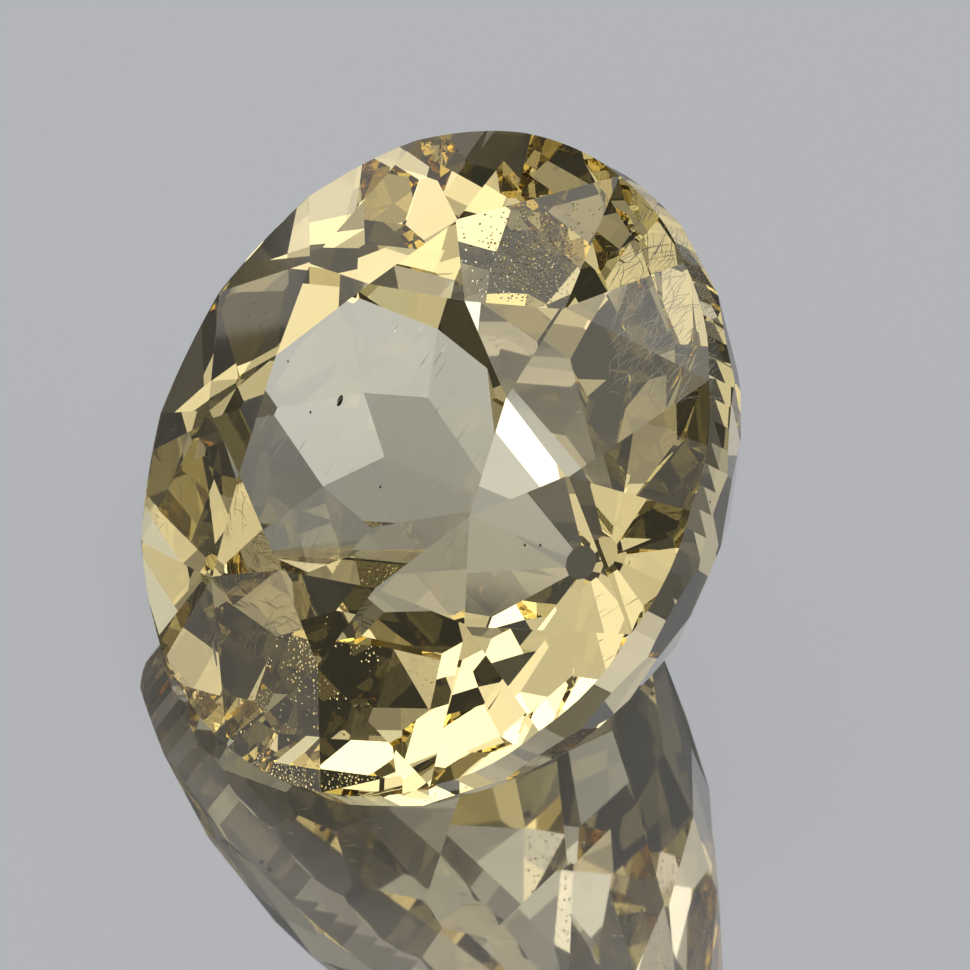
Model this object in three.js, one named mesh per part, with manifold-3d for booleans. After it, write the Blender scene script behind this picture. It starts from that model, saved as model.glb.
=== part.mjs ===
// A gemstone cut from one diaspore crystal, lying as a loose stone does, on one facet of its pavilion.
// Millimetres, +Z up. The stone is cut upright, with the top edge of its girdle at z = 0, and is then laid down.

import * as THREE from 'three';
import { mergeVertices } from 'three/addons/utils/BufferGeometryUtils.js';
import Module from 'manifold-3d';

const wasm = await Module();
wasm.setup();

// Driving dimensions. The stone is 10 mm across, and the other sizes follow the photograph's proportions.
// Slopes are in degrees from the girdle's plane.
const girdleRadius = 5.0;
const girdleThickness = 0.69;
const girdleWave = 0.08;       // the lower edge runs slightly askew, so the girdle is thicker on one side
const girdleSides = 96;
const thickestGirdleAt = 265;  // in plan, from the resting facet

// The crown: a table, mains and stars, and two upper halves to each main.
const crownMains = 8;
const tableHeight = 1.26;      // above the girdle's top edge
const tableRadius = 2.35;      // to the table's corners
const starTipRadius = 3.38;
const starTipHeight = 0.895;

// The pavilion: four tiers of kites, and a steep row that rounds the stone off under its girdle, two to each kite.
const pavilionKites = 11;
const pavilionDepth = 5.405;   // from the girdle's top edge to the point where the first kites would meet
const kiteSlopes = [35.0, 42.2, 49.6, 53.9];
const steepSlope = 67;
const firstCornerRadius = 1.895; // where two kites of the first tier part
const lastTierOverlap = 0.09;  // the last tier is cut a little over the corners where its kites would begin
const culetRadius = 0.25;
const pavilionShift = 0.108;   // the cutter's culet isn't quite under the middle of the table
const shiftsToward = 86;       // in plan, from the resting facet

// How the stone lies: on a kite of the second tier, the one at azimuth 0, which is ground deeper than its neighbours.
const restingTier = 1;
const restingFacetDepth = 0.09;
const crownTurn = 10.3;        // from the resting facet to the nearest main of the crown
const tableLeansToward = -150.4; // in plan, from +X

const radians = THREE.MathUtils.degToRad;
const degrees = THREE.MathUtils.radToDeg;

const crownStep = 360 / crownMains;
const kiteStep = 360 / pavilionKites;
const cosHalfKite = Math.cos(radians(kiteStep / 2));
const lapSize = 8 * girdleRadius;
const up = new THREE.Vector3(0, 0, 1);

function at(azimuth, radius, height) {
  return new THREE.Vector3(radius * Math.cos(radians(azimuth)), radius * Math.sin(radians(azimuth)), height);
}

function solidOf(geometry) {
  geometry.deleteAttribute('normal');
  geometry.deleteAttribute('uv');
  const merged = mergeVertices(geometry);
  return new wasm.Manifold(new wasm.Mesh({
    numProp: 3,
    vertProperties: new Float32Array(merged.attributes.position.array),
    triVerts: new Uint32Array(merged.index.array),
  }));
}

function geometryOf(solid) {
  const mesh = solid.getMesh();
  const geometry = new THREE.BufferGeometry();
  geometry.setAttribute('position', new THREE.BufferAttribute(new Float32Array(mesh.vertProperties), 3));
  geometry.setIndex(new THREE.BufferAttribute(new Uint32Array(mesh.triVerts), 1));
  return geometry;
}

// Grinds one facet: everything beyond the plane through this point comes off. Side is 1 for the crown and -1 for
// the pavilion.
function grind(stone, azimuth, slope, side, point) {
  const normal = at(azimuth, Math.sin(radians(slope)), side * Math.cos(radians(slope)));
  const lap = new THREE.BoxGeometry(lapSize, lapSize, lapSize);
  lap.translate(0, 0, lapSize / 2);
  lap.applyQuaternion(new THREE.Quaternion().setFromUnitVectors(up, normal));
  lap.translate(point.x, point.y, point.z);
  return stone.subtract(solidOf(lap));
}

// The slope of a plane that drops from one height to another over this run.
function slopeOver(drop, run) {
  return degrees(Math.atan2(drop, run));
}

// The round blank that all the facets are cut from.
function blank() {
  const height = tableHeight + pavilionDepth;
  const cylinder = new THREE.CylinderGeometry(girdleRadius, girdleRadius, height, girdleSides);
  cylinder.rotateX(Math.PI / 2);
  cylinder.translate(0, 0, (tableHeight - pavilionDepth) / 2);
  return solidOf(cylinder);
}

// The centre lines of the two halves beside a main.
function halvesBeside(main) {
  return [main - crownStep / 4, main + crownStep / 4];
}

// The mains run from the girdle to the table's corners, and the stars lie along the table's edges.
function cutCrown(stone) {
  const mainSlope = slopeOver(tableHeight, girdleRadius - tableRadius);
  const tableEdgeRadius = tableRadius * Math.cos(radians(crownStep / 2));
  const starSlope = slopeOver(tableHeight - starTipHeight, starTipRadius - tableEdgeRadius);
  const cosHalf = Math.cos(radians(crownStep / 4));
  const upperHalfSlope = slopeOver(starTipHeight, (girdleRadius - starTipRadius) * cosHalf);
  for (let i = 0; i < crownMains; i += 1) {
    const main = crownTurn + i * crownStep;
    const star = main + crownStep / 2;
    stone = grind(stone, main, mainSlope, 1, at(main, girdleRadius, 0));
    stone = grind(stone, star, starSlope, 1, at(star, tableEdgeRadius, tableHeight));
    for (const half of halvesBeside(main)) {
      stone = grind(stone, half, upperHalfSlope, 1, at(half, girdleRadius * cosHalf, 0));
    }
  }
  return stone;
}

// A pavilion plane along its own centre line, through a corner there.
function planeThrough(corner, slope) {
  const rise = Math.tan(radians(slope));
  return { rise, axisHeight: corner.height - corner.radius * rise };
}

// The corner on the inner plane's centre line where the two nearest planes of the outer tier cross it, or a point
// that lies nearer the axis by this overlap.
function cornerBetween(inner, outer, overlap) {
  const radius = (outer.axisHeight - inner.axisHeight) / (inner.rise - cosHalfKite * outer.rise) - overlap;
  return { radius, height: inner.axisHeight + radius * inner.rise };
}

// One facet at every kite's azimuth, through its inner corner. The first of them can be ground deeper than the rest.
function grindTier(stone, firstAzimuth, slope, corner, firstDepth = 0) {
  for (let i = 0; i < pavilionKites; i += 1) {
    const azimuth = firstAzimuth + i * kiteStep;
    const point = at(azimuth, corner.radius, corner.height).add(at(shiftsToward, pavilionShift, 0));
    if (i === 0) point.z += firstDepth / Math.cos(radians(slope));
    stone = grind(stone, azimuth, slope, -1, point);
  }
  return stone;
}

// The kites nest: each tier stands half a step from the one before, and its inner corners lie where two kites of
// that tier part.
function cutPavilion(stone) {
  const tip = { radius: 0, height: -pavilionDepth };
  let inner = planeThrough(tip, kiteSlopes[0]);
  stone = grindTier(stone, kiteStep / 2, kiteSlopes[0], tip);
  let corner = {
    radius: firstCornerRadius,
    height: inner.axisHeight + firstCornerRadius * cosHalfKite * inner.rise,
  };
  const lastTier = kiteSlopes.length - 1;
  for (let tier = 1; tier <= lastTier; tier += 1) {
    const slope = kiteSlopes[tier];
    const firstAzimuth = tier % 2 === 1 ? 0 : kiteStep / 2;
    const outer = planeThrough(corner, slope);
    stone = grindTier(stone, firstAzimuth, slope, corner, tier === restingTier ? restingFacetDepth : 0);
    corner = cornerBetween(inner, outer, tier + 1 === lastTier ? lastTierOverlap : 0);
    inner = outer;
  }
  return stone;
}

// The steep row sets the girdle's lower edge, and the culet is ground flat last.
function finishPavilion(stone) {
  const steepStep = kiteStep / 2;
  const steepRadius = girdleRadius * Math.cos(radians(steepStep / 2));
  for (let i = 0; i < 2 * pavilionKites; i += 1) {
    const azimuth = (i + 0.5) * steepStep;
    const thickness = girdleThickness + girdleWave * Math.cos(radians(azimuth - thickestGirdleAt));
    stone = grind(stone, azimuth, steepSlope, -1, at(azimuth, steepRadius, -thickness));
  }
  const culetHeight = culetRadius * Math.tan(radians(kiteSlopes[0])) - pavilionDepth;
  return grind(stone, 0, 0, -1, at(0, 0, culetHeight));
}

// Lays the stone on its resting facet, with the table leaning the way it should in plan.
function layDown(geometry) {
  geometry.rotateY(radians(kiteSlopes[restingTier]));
  geometry.rotateZ(radians(tableLeansToward));
  geometry.computeBoundingBox();
  const { min, max } = geometry.boundingBox;
  geometry.translate(-(min.x + max.x) / 2, -(min.y + max.y) / 2, -min.z);
  return geometry;
}

const stone = finishPavilion(cutPavilion(cutCrown(blank())));
const gem = new THREE.Mesh(
  layDown(geometryOf(stone)),
  new THREE.MeshStandardMaterial({ color: 0xb5a878, roughness: 0.03, metalness: 0 }),
);
gem.name = 'diaspore_gem';

const part = new THREE.Group();
part.add(gem);

export default part;
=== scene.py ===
"""The cut diaspore, lying on a facet of its pavilion.

It is one clear crystal, with the wear on its surface and the flaws that show inside it.
"""

import math
import random
from collections import namedtuple

import bmesh
import bpy
from mathutils import Matrix, Vector
from mathutils.bvhtree import BVHTree
from mathutils.geometry import delaunay_2d_cdt


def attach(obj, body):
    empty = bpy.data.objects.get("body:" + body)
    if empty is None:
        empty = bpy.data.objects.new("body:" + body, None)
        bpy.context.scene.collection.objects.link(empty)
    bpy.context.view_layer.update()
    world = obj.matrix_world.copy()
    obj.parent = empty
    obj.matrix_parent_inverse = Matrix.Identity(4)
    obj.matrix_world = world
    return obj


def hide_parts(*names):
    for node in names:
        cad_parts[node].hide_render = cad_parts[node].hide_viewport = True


# Lengths are in millimetres and angles in degrees, unless a comment says otherwise. A place in the picture is
# given from the top left corner, in units of the picture's side.
MM = 0.001

# The stone's own axis, from the culet up through the table. The table is this high above the top edge of the
# girdle, and corners within this distance of its plane are its own.
STONE_AXIS = Vector((-0.584, -0.332, 0.740)).normalized()
TABLE_HEIGHT = 1.26
TABLE_FLATNESS = 0.02

# The crystal absorbs blue the most. It looks champagne where light crosses little of it, and olive where it
# crosses much.
REFRACTIVE_INDEX = 1.74
ABSORPTION_COLOUR = (0.95, 0.8, 0.15, 1)
ABSORPTION_DENSITY = 66  # per metre
LIGHT_BOUNCES = 24

# The camera looks along +Y and down. Its roll is the photograph's.
CAMERA_ELEVATION = 45.5
CAMERA_ROLL = 1.2
CAMERA_DISTANCE = 400
CAMERA_NEAR = 1
CAMERA_FAR = 10000
SENSOR_WIDTH = 36
FRAME_WIDTH = 13.915
LOOK_RIGHT_OF_GIRDLE = 0.854
LOOK_BELOW_GIRDLE = 0.358

# The floor is pale and polished. The air between it and the facet on it keeps that facet a mirror, seen from
# within the stone.
FLOOR_SIDE = 2000
FLOOR_GAP = 0.02
FLOOR_COLOUR = (0.87, 0.87, 0.93, 1)
FLOOR_METALLIC = 0.8
FLOOR_ROUGHNESS = 0.03

# Most lights overhead, on the left and behind the camera are warm. Most of those beyond the stone and on its
# right are cool.
WARM = (1.0, 0.95, 0.84)
COOL = (0.97, 1.0, 0.98)

# A dim sky, and the flat soft lights in it: name, azimuth clockwise from +Y, elevation, the angles that the
# light fills across and upward, radiance and colour.
SKY_COLOUR = (0.95, 0.97, 1.0, 1)
SKY_STRENGTH = 0.035
LIGHT_DISTANCE = 500
LIGHTS = (
    ("overhead", -54, 84, 32, 28, 1.15, WARM),
    ("overhead left", -88, 63, 44, 16, 0.65, WARM),
    ("overhead right", 105, 70, 28, 20, 1.5, WARM),
    ("overhead behind", -160, 70, 34, 10, 0.6, WARM),
    ("left", -84, 46, 30, 14, 1.1, WARM),
    ("left behind", -125, 52, 24, 20, 0.4, WARM),
    ("far left", -33, 46, 14, 14, 1.5, WARM),
    ("low left", -75, 17, 30, 12, 0.55, WARM),
    ("low left behind", -109, 19, 23, 12, 0.75, WARM),
    ("low behind left", -133, 19, 22, 12, 0.25, WARM),
    ("low far left", -33, 7, 16, 12, 0.7, WARM),
    ("horizon left", -58, 9, 20, 10, 0.5, WARM),
    ("horizon far", 12, 8, 22, 10, 0.45, WARM),
    ("horizon behind", 170, 6, 40, 10, 0.8, WARM),
    ("horizon behind left", -158, 9, 24, 12, 0.75, WARM),
    ("behind", -158, 30, 50, 16, 0.27, WARM),
    ("upper behind", 180, 44, 24, 10, 0.8, WARM),
    ("far", 0, 45, 16, 10, 0.5, COOL),
    ("low far", 10, 31, 20, 12, 0.35, COOL),
    ("low far right", 23, 17, 14, 10, 0.4, COOL),
    ("overhead far", -14, 72, 18, 14, 0.66, COOL),
    ("overhead far right", 22, 78, 26, 22, 0.65, COOL),
    ("upper far right", 43, 54, 20, 20, 0.44, COOL),
    ("middle far right", 33, 43, 26, 12, 0.4, COOL),
    ("far right", 17, 55, 14, 10, 0.8, COOL),
    ("right of far", 33, 30, 22, 18, 0.26, COOL),
    ("low right", 60, 30, 26, 18, 0.2, COOL),
    ("right", 75, 58, 22, 34, 0.78, COOL),
    ("right behind", 104, 40, 24, 14, 0.7, COOL),
    ("horizon right", 92, 15, 30, 12, 0.35, COOL),
)

# The surface. Corners this close are one, and faces this near to one plane are one facet.
WELD_DISTANCE = 0.0005
FLAT_WITHIN = 0.3

# The wear that rounds every edge between two facets. Faces that meet at less than this angle are left alone.
EDGE_WIDTH = 0.014
EDGE_SEGMENTS = 2
SHARP_ABOVE = 5

# Dents in a facet: the corners of a rim, the least gap between two, and how deep one is for its width.
RIM_CORNERS = 6
DENT_GAP = 0.004
DENT_DEPTH = 0.3
DENT_SEED = 4

# Pits on one kite of the crown. The first of them lie close around one place, and the others spread wider.
PITS_PLACE = (0.546, 0.268)
PIT_COUNT = 1400
CLOSE_PIT_COUNT = 1000
CLOSE_SPREAD = 0.3
WIDE_SPREAD = 0.7
PIT_WIDTHS = (0.025, 0.05)

# Nicks beside the table's edge, and their angle to the picture's horizontal, in radians.
NICK_PLACES = ((0.489, 0.325), (0.494, 0.335), (0.513, 0.386), (0.297, 0.372))
NICK_LENGTH = 0.1
NICK_WIDTH = 0.05
NICK_DEPTH = 0.015
NICK_ANGLE = -1.1

# Fine scratches on the table: the place that they lie around, and how far they go from it.
SCRATCHES_PLACE = (0.38, 0.46)
SCRATCH_COUNT = 70
SCRATCH_HEADING = 48
SCRATCH_REACH = 2
SCRATCH_LENGTHS = (0.1, 1.3)
SCRATCH_WIDTHS = (0.008, 0.016)

# The feather: the strip of the picture where its hairs start, their headings and lengths in the picture, and
# their curl in radians. A hair starts this deep in the stone and ends deeper.
FEATHER_ACROSS = (0.625, 0.705)
FEATHER_DOWN = (0.26, 0.42)
HAIR_COUNT = 190
HAIR_HEADING = 52
HAIR_HEADING_SPREAD = 12
HAIR_LENGTHS = (0.012, 0.04)
HAIR_CURL = 0.35
HAIR_DEPTHS = (0.25, 0.9)
HAIR_DIVE = 0.15
HAIR_STEPS = 5
HAIR_RADII = (0.003, 0.008)
FLAW_SEED = 11

# Hairs and needles are tubes with three sides, thinner at both ends. None runs along the last direction.
TUBE_SIDES = 3
TUBE_END = 0.15
TUBE_SWELL = 0.85
OFF_THE_TUBES = Vector((0.3, 0.2, 0.9))

# Needles near the crown's upper right edge: where each starts in the picture, and how far up it reaches.
NEEDLES = ((0.655, 0.235, 0.02), (0.661, 0.231, 0.024), (0.667, 0.229, 0.018), (0.649, 0.243, 0.014))
NEEDLE_PARTS = (0, 0.33, 0.67, 1)
NEEDLE_LEAN = 0.5
NEEDLE_DEPTH = 0.2
NEEDLE_DIVE = 0.1
NEEDLE_RADIUS = 0.011

# Rounded grains: where each shows in the picture, its depth in the stone, its radii across, up and toward the
# camera, and its turn in the picture, in radians. The first pale one is the small crack.
SPECK_RADII = (0.018, 0.022, 0.018)
DARK_GRAINS = (
    ((0.3505, 0.413), 0.5, (0.045, 0.09, 0.04), -0.3),
    ((0.392, 0.502), 0.4, SPECK_RADII, 0),
    ((0.320, 0.425), 0.4, SPECK_RADII, 0),
    ((0.541, 0.562), 0.4, SPECK_RADII, 0),
    ((0.557, 0.562), 0.4, SPECK_RADII, 0),
)
PALE_GRAINS = (
    ((0.2215, 0.674), 0.25, (0.03, 0.2, 0.012), 0.22),
    ((0.732, 0.5175), 0.25, (0.02, 0.02, 0.02), 0),
)

# The flaws' colours, which vary a little over each flaw.
PALE = (0.95, 0.93, 0.86)
PALE_ROUGHNESS = 0.25
DARK = (0.05, 0.035, 0.02)
DARK_ROUGHNESS = 0.5
MOTTLE_SCALE = 20000
MOTTLE_SHADE = 0.7

Dent = namedtuple("Dent", "middle length width angle depth")


def table_middle(node):
    """The middle of the table, which is the facet farthest along the stone's axis."""
    points = [v.co for v in node.data.vertices]
    top = max(p.dot(STONE_AXIS) for p in points)
    table = [p for p in points if top - p.dot(STONE_AXIS) < TABLE_FLATNESS * MM]
    return sum(table, Vector()) / len(table)


def add_camera(girdle_middle):
    data = bpy.data.cameras.new("camera")
    camera = bpy.data.objects.new("camera", data)
    bpy.context.collection.objects.link(camera)
    turn = Matrix.Rotation(math.radians(90 - CAMERA_ELEVATION), 3, "X")
    turn = turn @ Matrix.Rotation(math.radians(CAMERA_ROLL), 3, "Z")
    right, up, back = turn.col
    aim = girdle_middle + (right * LOOK_RIGHT_OF_GIRDLE - up * LOOK_BELOW_GIRDLE) * MM
    camera.matrix_world = Matrix.Translation(aim + back * CAMERA_DISTANCE * MM) @ turn.to_4x4()
    data.sensor_width = SENSOR_WIDTH
    data.lens = SENSOR_WIDTH * CAMERA_DISTANCE / FRAME_WIDTH
    data.clip_start = CAMERA_NEAR * MM
    data.clip_end = CAMERA_FAR * MM
    bpy.context.scene.camera = camera
    return camera


def add_floor():
    bpy.ops.mesh.primitive_plane_add(size=FLOOR_SIDE * MM)
    floor = bpy.context.object
    floor.name = "floor"
    floor.location.z = -FLOOR_GAP * MM
    material = bpy.data.materials.new("floor")
    material.use_nodes = True
    shader = material.node_tree.nodes["Principled BSDF"]
    shader.inputs["Base Color"].default_value = FLOOR_COLOUR
    shader.inputs["Metallic"].default_value = FLOOR_METALLIC
    shader.inputs["Roughness"].default_value = FLOOR_ROUGHNESS
    floor.data.materials.append(material)


def add_softbox(target, name, azimuth, elevation, width, height, radiance, colour):
    """A flat soft light that faces the target."""
    distance = LIGHT_DISTANCE * MM
    flat = math.cos(math.radians(elevation))
    direction = Vector((
        flat * math.sin(math.radians(azimuth)),
        flat * math.cos(math.radians(azimuth)),
        math.sin(math.radians(elevation)),
    ))
    data = bpy.data.lights.new(name, "AREA")
    data.shape = "RECTANGLE"
    data.size = 2 * distance * math.tan(math.radians(width / 2))
    data.size_y = 2 * distance * math.tan(math.radians(height / 2))
    data.energy = radiance * math.pi * data.size * data.size_y
    data.color = colour
    light = bpy.data.objects.new(name, data)
    bpy.context.collection.objects.link(light)
    light.location = target + direction * distance
    light.rotation_euler = direction.to_track_quat("Z", "Y").to_euler()


def add_lights(target):
    world = bpy.data.worlds.new("world")
    bpy.context.scene.world = world
    world.use_nodes = True
    background = world.node_tree.nodes["Background"]
    background.inputs["Color"].default_value = SKY_COLOUR
    background.inputs["Strength"].default_value = SKY_STRENGTH
    for light in LIGHTS:
        add_softbox(target, *light)


def set_render(scene):
    scene.view_settings.view_transform = "Standard"
    scene.cycles.max_bounces = LIGHT_BOUNCES
    scene.cycles.transmission_bounces = LIGHT_BOUNCES
    scene.cycles.glossy_bounces = LIGHT_BOUNCES


def gem_material():
    """Clear crystal, which takes some of the light that goes through it."""
    material = bpy.data.materials.new("diaspore")
    material.use_nodes = True
    nodes = material.node_tree.nodes
    links = material.node_tree.links
    shader = nodes["Principled BSDF"]
    shader.inputs["Base Color"].default_value = (1, 1, 1, 1)
    shader.inputs["Roughness"].default_value = 0.0
    shader.inputs["IOR"].default_value = REFRACTIVE_INDEX
    shader.inputs["Transmission Weight"].default_value = 1
    absorption = nodes.new("ShaderNodeVolumeAbsorption")
    absorption.inputs["Color"].default_value = ABSORPTION_COLOUR
    absorption.inputs["Density"].default_value = ABSORPTION_DENSITY
    links.new(absorption.outputs["Volume"], nodes["Material Output"].inputs["Volume"])
    return material


def flaw_material(name, colour, roughness):
    """A colour that varies between itself and a darker shade."""
    material = bpy.data.materials.new(name)
    material.use_nodes = True
    nodes = material.node_tree.nodes
    links = material.node_tree.links
    shader = nodes["Principled BSDF"]
    shader.inputs["Roughness"].default_value = roughness
    noise = nodes.new("ShaderNodeTexNoise")
    noise.inputs["Scale"].default_value = MOTTLE_SCALE
    ramp = nodes.new("ShaderNodeValToRGB")
    ramp.color_ramp.elements[0].color = tuple(v * MOTTLE_SHADE for v in colour) + (1,)
    ramp.color_ramp.elements[1].color = colour + (1,)
    links.new(noise.outputs["Fac"], ramp.inputs["Fac"])
    links.new(ramp.outputs["Color"], shader.inputs["Base Color"])
    return material


def facet_mesh(node):
    """The stone's surface with one flat face to each facet."""
    bm = bmesh.new()
    verts = [bm.verts.new(v.co) for v in node.data.vertices]
    for polygon in node.data.polygons:
        bm.faces.new([verts[i] for i in polygon.vertices])
    bmesh.ops.remove_doubles(bm, verts=bm.verts, dist=WELD_DISTANCE * MM)
    flat = math.radians(FLAT_WITHIN)
    bmesh.ops.dissolve_limit(bm, angle_limit=flat, verts=bm.verts, edges=bm.edges)
    return bm


def wear_edges(bm):
    """Rounds every edge between two facets, but not those between the flats of the girdle's curve."""
    sharp = [e for e in bm.edges if e.is_manifold and e.calc_face_angle() > math.radians(SHARP_ABOVE)]
    bmesh.ops.bevel(
        bm,
        geom=sharp,
        offset=EDGE_WIDTH * MM,
        segments=EDGE_SEGMENTS,
        affect="EDGES",
        profile=0.5,
        clamp_overlap=True,
    )


def picture_ray(camera, place):
    """Start and direction of the camera's ray through a place in the picture."""
    width = camera.data.sensor_width / camera.data.lens
    direction = Vector(((place[0] - 0.5) * width, (0.5 - place[1]) * width, -1)).normalized()
    return camera.matrix_world.translation, (camera.matrix_world.to_3x3() @ direction).normalized()


def facet_at(bm, camera, place):
    """The facet that the camera sees at this place."""
    start, direction = picture_ray(camera, place)
    bm.faces.index_update()
    bm.faces.ensure_lookup_table()
    index = BVHTree.FromBMesh(bm).ray_cast(start, direction)[2]
    return bm.faces[index]


def facet_axes(face, camera):
    """A point on the facet and two axes in its plane, the first of them toward the picture's right."""
    right = camera.matrix_world.to_3x3().col[0]
    normal = face.normal.copy()
    across = (right - normal * right.dot(normal)).normalized()
    return face.calc_center_median(), across, normal.cross(across)


def in_facet(face, camera, place):
    """A place in the picture as coordinates in the facet's plane."""
    origin, across, up = facet_axes(face, camera)
    start, direction = picture_ray(camera, place)
    hit = start + direction * ((origin - start).dot(face.normal) / direction.dot(face.normal))
    return Vector(((hit - origin).dot(across), (hit - origin).dot(up)))


def rim_of(dent):
    """Corners of a dent's rim, in the facet's plane."""
    corners = []
    for i in range(RIM_CORNERS):
        turn = 2 * math.pi * i / RIM_CORNERS
        corner = Vector((dent.length / 2 * math.cos(turn), dent.width / 2 * math.sin(turn)))
        corner.rotate(Matrix.Rotation(dent.angle, 2))
        corners.append(dent.middle + corner)
    return corners


def inside_outline(corners, outline, gap):
    """Whether these corners are all inside an outline, and this far from its sides."""
    for i in range(len(outline)):
        side = (outline[i] - outline[i - 1]).normalized()
        if min(side.cross(corner - outline[i - 1]) for corner in corners) < gap:
            return False
    return True


def centre_line(dent):
    """Points along the middle of a dent, no farther apart than it is wide."""
    reach = (dent.length - dent.width) / 2
    along = Vector((math.cos(dent.angle), math.sin(dent.angle)))
    steps = math.ceil(reach / dent.width)
    if steps == 0:
        return [dent.middle]
    return [dent.middle + along * reach * i / steps for i in range(-steps, steps + 1)]


def too_near(dent, line, others, gap):
    """Whether this dent would run into one that is already cut."""
    for other, other_line in others:
        clear = (dent.width + other.width) / 2 + gap
        if (dent.middle - other.middle).length > (dent.length + other.length) / 2 + gap:
            continue
        if min((a - b).length for a in line for b in other_line) < clear:
            return True
    return False


def dent_facet(bm, face, camera, dents):
    """Cuts dents into one facet.

    Each sinks from its rim to its middle. Those that would touch another or leave the facet are left out.
    """
    origin, across, up = facet_axes(face, camera)
    normal = face.normal.copy()
    outline = [Vector(((v.co - origin).dot(across), (v.co - origin).dot(up))) for v in face.verts]
    points = list(outline)
    rims = []
    depths = {}
    cut = []
    gap = DENT_GAP * MM
    for dent in dents:
        corners = rim_of(dent)
        line = centre_line(dent)
        if not inside_outline(corners, outline, gap) or too_near(dent, line, cut, gap):
            continue
        cut.append((dent, line))
        depths[len(points)] = dent.depth
        first = len(points) + 1
        rims.extend((first + i, first + (i + 1) % RIM_CORNERS) for i in range(RIM_CORNERS))
        points.append(dent.middle)
        points.extend(corners)

    # The facet is cut into triangles inside its outline, and every rim stays an edge.
    inside_only = 1
    same_point = 1e-9  # in metres
    made = delaunay_2d_cdt(points, rims, [list(range(len(outline)))], inside_only, same_point)
    triangles, sources = made[2:4]
    verts = []
    for source in sources:
        index = source[0]
        if index < len(outline):
            verts.append(face.verts[index])
            continue
        place = origin + across * points[index].x + up * points[index].y - normal * depths.get(index, 0)
        verts.append(bm.verts.new(place))
    bmesh.ops.delete(bm, geom=[face], context="FACES_ONLY")
    for triangle in triangles:
        bm.faces.new([verts[i] for i in triangle])


def pits(face, camera, rng):
    """Small round pits, thickest around one place and thinning out over the whole facet."""
    thickest = in_facet(face, camera, PITS_PLACE)
    dents = []
    for i in range(PIT_COUNT):
        spread = (CLOSE_SPREAD if i < CLOSE_PIT_COUNT else WIDE_SPREAD) * MM
        middle = thickest + Vector((rng.gauss(0, spread), rng.gauss(0, spread)))
        width = rng.uniform(*PIT_WIDTHS) * MM
        angle = rng.uniform(0, 1)
        dents.append(Dent(middle, width, width, angle, width * DENT_DEPTH))
    return dents


def nicks_and_scratches(face, camera, rng):
    """Nicks beside the table's edge, and fine scratches that run up and to the right over it."""
    dents = []
    for place in NICK_PLACES:
        middle = in_facet(face, camera, place)
        dents.append(Dent(middle, NICK_LENGTH * MM, NICK_WIDTH * MM, NICK_ANGLE, NICK_DEPTH * MM))
    around = in_facet(face, camera, SCRATCHES_PLACE)
    heading = math.radians(SCRATCH_HEADING)
    along = Vector((math.cos(heading), math.sin(heading)))
    for _ in range(SCRATCH_COUNT):
        forward = along * rng.uniform(-SCRATCH_REACH, SCRATCH_REACH)
        sideways = along.orthogonal() * rng.uniform(-SCRATCH_REACH, SCRATCH_REACH)
        middle = around + (forward + sideways) * MM
        length = rng.uniform(*SCRATCH_LENGTHS) * MM
        width = rng.uniform(*SCRATCH_WIDTHS) * MM
        dents.append(Dent(middle, length, width, heading, width * DENT_DEPTH))
    return dents


def add_piece(name, bm, material):
    """Makes an object of a finished mesh. It is part of the one stone."""
    mesh = bpy.data.meshes.new(name)
    bm.to_mesh(mesh)
    bm.free()
    mesh.materials.append(material)
    piece = bpy.data.objects.new(name, mesh)
    bpy.context.collection.objects.link(piece)
    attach(piece, "root")
    return piece


def build_stone(node, camera):
    rng = random.Random(DENT_SEED)
    bm = facet_mesh(node)
    wear_edges(bm)
    kite = facet_at(bm, camera, PITS_PLACE)
    dent_facet(bm, kite, camera, pits(kite, camera, rng))
    bm.normal_update()
    table = facet_at(bm, camera, SCRATCHES_PLACE)
    dent_facet(bm, table, camera, nicks_and_scratches(table, camera, rng))
    bmesh.ops.triangulate(bm, faces=bm.faces)
    stone = add_piece("diaspore_surface", bm, gem_material())
    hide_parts("diaspore_gem")
    return stone


def inside(tree, camera, place, depth):
    """The point this deep in the stone that the camera sees at this place, past the bend at the surface."""
    start, direction = picture_ray(camera, place)
    hit, normal = tree.ray_cast(start, direction)[:2]
    if hit is None:
        return None
    ratio = 1 / REFRACTIVE_INDEX
    cosine = -direction.dot(normal)
    cosine_within = math.sqrt(1 - ratio * ratio * (1 - cosine * cosine))
    bent = direction * ratio + normal * (ratio * cosine - cosine_within)
    return hit + bent.normalized() * depth * MM


def tube(bm, path, radius):
    """A closed tube along a path, thinner at both ends."""
    rings = []
    last = len(path) - 1
    for i, point in enumerate(path):
        ahead = path[min(i + 1, last)] - path[max(i - 1, 0)]
        side = ahead.cross(OFF_THE_TUBES).normalized()
        other = ahead.cross(side).normalized()
        size = radius * (TUBE_END + TUBE_SWELL * math.sin(math.pi * i / last))
        corners = []
        for k in range(TUBE_SIDES):
            turn = 2 * math.pi * k / TUBE_SIDES
            corners.append(bm.verts.new(point + (side * math.cos(turn) + other * math.sin(turn)) * size))
        rings.append(corners)
    for a, b in zip(rings, rings[1:]):
        for k in range(TUBE_SIDES):
            after = (k + 1) % TUBE_SIDES
            bm.faces.new((a[k], a[after], b[after], b[k]))
    bm.faces.new(reversed(rings[0]))
    bm.faces.new(rings[-1])


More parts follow.
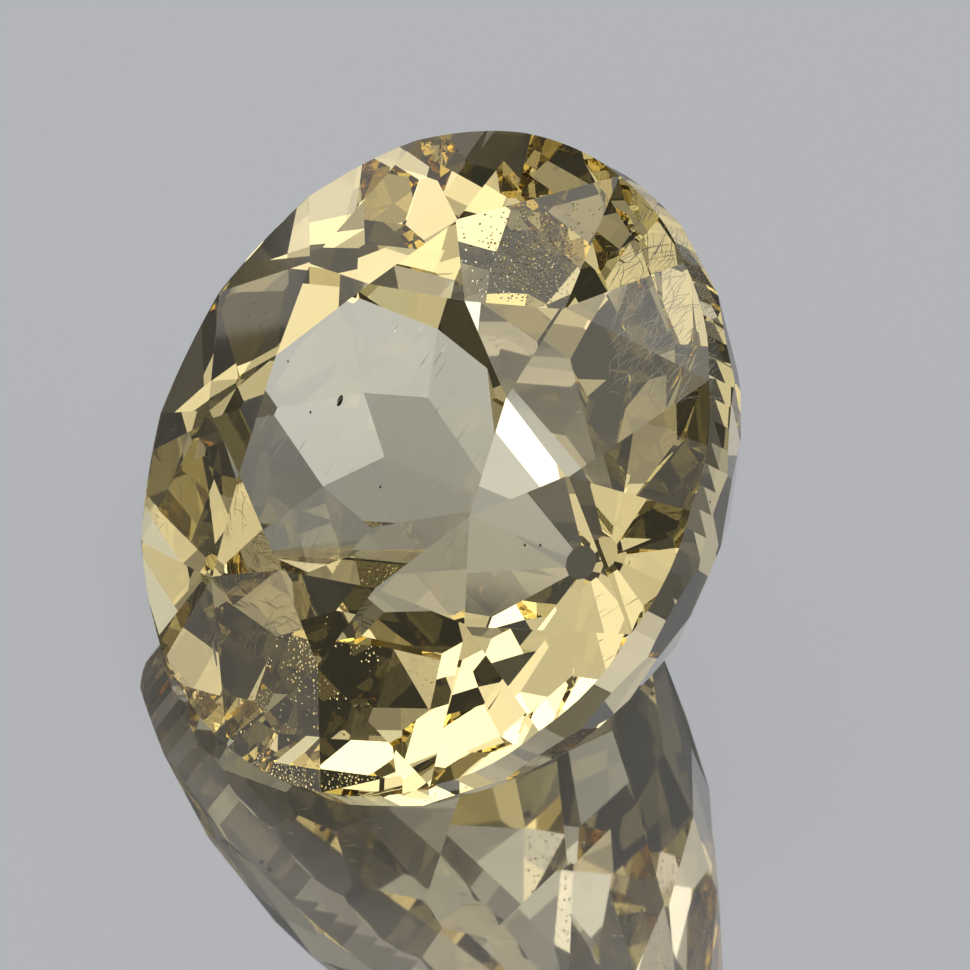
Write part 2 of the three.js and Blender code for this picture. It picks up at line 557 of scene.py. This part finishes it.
def feather(bm, tree, camera, rng):
    """Silky curved hairs that fan out below the crown, upward and to the right."""
    for _ in range(HAIR_COUNT):
        x = rng.uniform(*FEATHER_ACROSS)
        y = rng.uniform(*FEATHER_DOWN)
        heading = math.radians(rng.gauss(HAIR_HEADING, HAIR_HEADING_SPREAD))
        length = rng.uniform(*HAIR_LENGTHS)
        curl = rng.gauss(0, HAIR_CURL)
        depth = rng.uniform(*HAIR_DEPTHS)
        path = []
        for step in range(HAIR_STEPS + 1):
            part = step / HAIR_STEPS
            turn = heading + curl * part
            place = (x + length * part * math.cos(turn), y - length * part * math.sin(turn))
            path.append(inside(tree, camera, place, depth + HAIR_DIVE * part))
        if None not in path:
            tube(bm, path, rng.uniform(*HAIR_RADII) * MM)


def needles(bm, tree, camera):
    """A few straight needles just under the crown."""
    for x, y, reach in NEEDLES:
        path = []
        for part in NEEDLE_PARTS:
            place = (x + reach * part * NEEDLE_LEAN, y - reach * part)
            path.append(inside(tree, camera, place, NEEDLE_DEPTH + NEEDLE_DIVE * part))
        tube(bm, path, NEEDLE_RADIUS * MM)


def grain(bm, centre, radii, turn):
    """A rounded grain with its own radius along each of its axes."""
    made = bmesh.ops.create_icosphere(bm, subdivisions=2, radius=1)["verts"]
    shape = Matrix.Translation(centre) @ turn.to_4x4() @ Matrix.Diagonal((*[v * MM for v in radii], 1))
    bmesh.ops.transform(bm, matrix=shape, verts=made)


def add_grains(name, grains, tree, camera, material):
    """Makes one piece of all the grains in this list."""
    facing = camera.matrix_world.to_3x3()
    bm = bmesh.new()
    for place, depth, radii, angle in grains:
        turn = facing @ Matrix.Rotation(angle, 3, "Z")
        grain(bm, inside(tree, camera, place, depth), radii, turn)
    add_piece(name, bm, material)


def add_flaws(stone, camera):
    bpy.context.view_layer.update()
    tree = BVHTree.FromObject(stone, bpy.context.evaluated_depsgraph_get())
    pale = flaw_material("pale flaw", PALE, PALE_ROUGHNESS)
    dark = flaw_material("dark flaw", DARK, DARK_ROUGHNESS)
    silk = bmesh.new()
    feather(silk, tree, camera, random.Random(FLAW_SEED))
    needles(silk, tree, camera)
    add_piece("silk_and_needles", silk, pale)
    add_grains("dark_grains", DARK_GRAINS, tree, camera, dark)
    add_grains("small_crack", PALE_GRAINS, tree, camera, pale)


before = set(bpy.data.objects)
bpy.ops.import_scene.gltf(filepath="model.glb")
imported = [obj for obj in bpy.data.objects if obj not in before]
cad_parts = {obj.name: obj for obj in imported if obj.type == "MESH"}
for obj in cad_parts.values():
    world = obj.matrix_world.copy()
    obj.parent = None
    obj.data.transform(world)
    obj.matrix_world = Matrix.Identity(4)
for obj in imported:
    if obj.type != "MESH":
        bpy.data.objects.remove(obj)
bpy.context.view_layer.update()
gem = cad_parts["diaspore_gem"]
girdle_middle = table_middle(gem) - STONE_AXIS * TABLE_HEIGHT * MM
camera = add_camera(girdle_middle)
add_floor()
add_lights(girdle_middle)
stone = build_stone(gem, camera)
add_flaws(stone, camera)
set_render(bpy.context.scene)
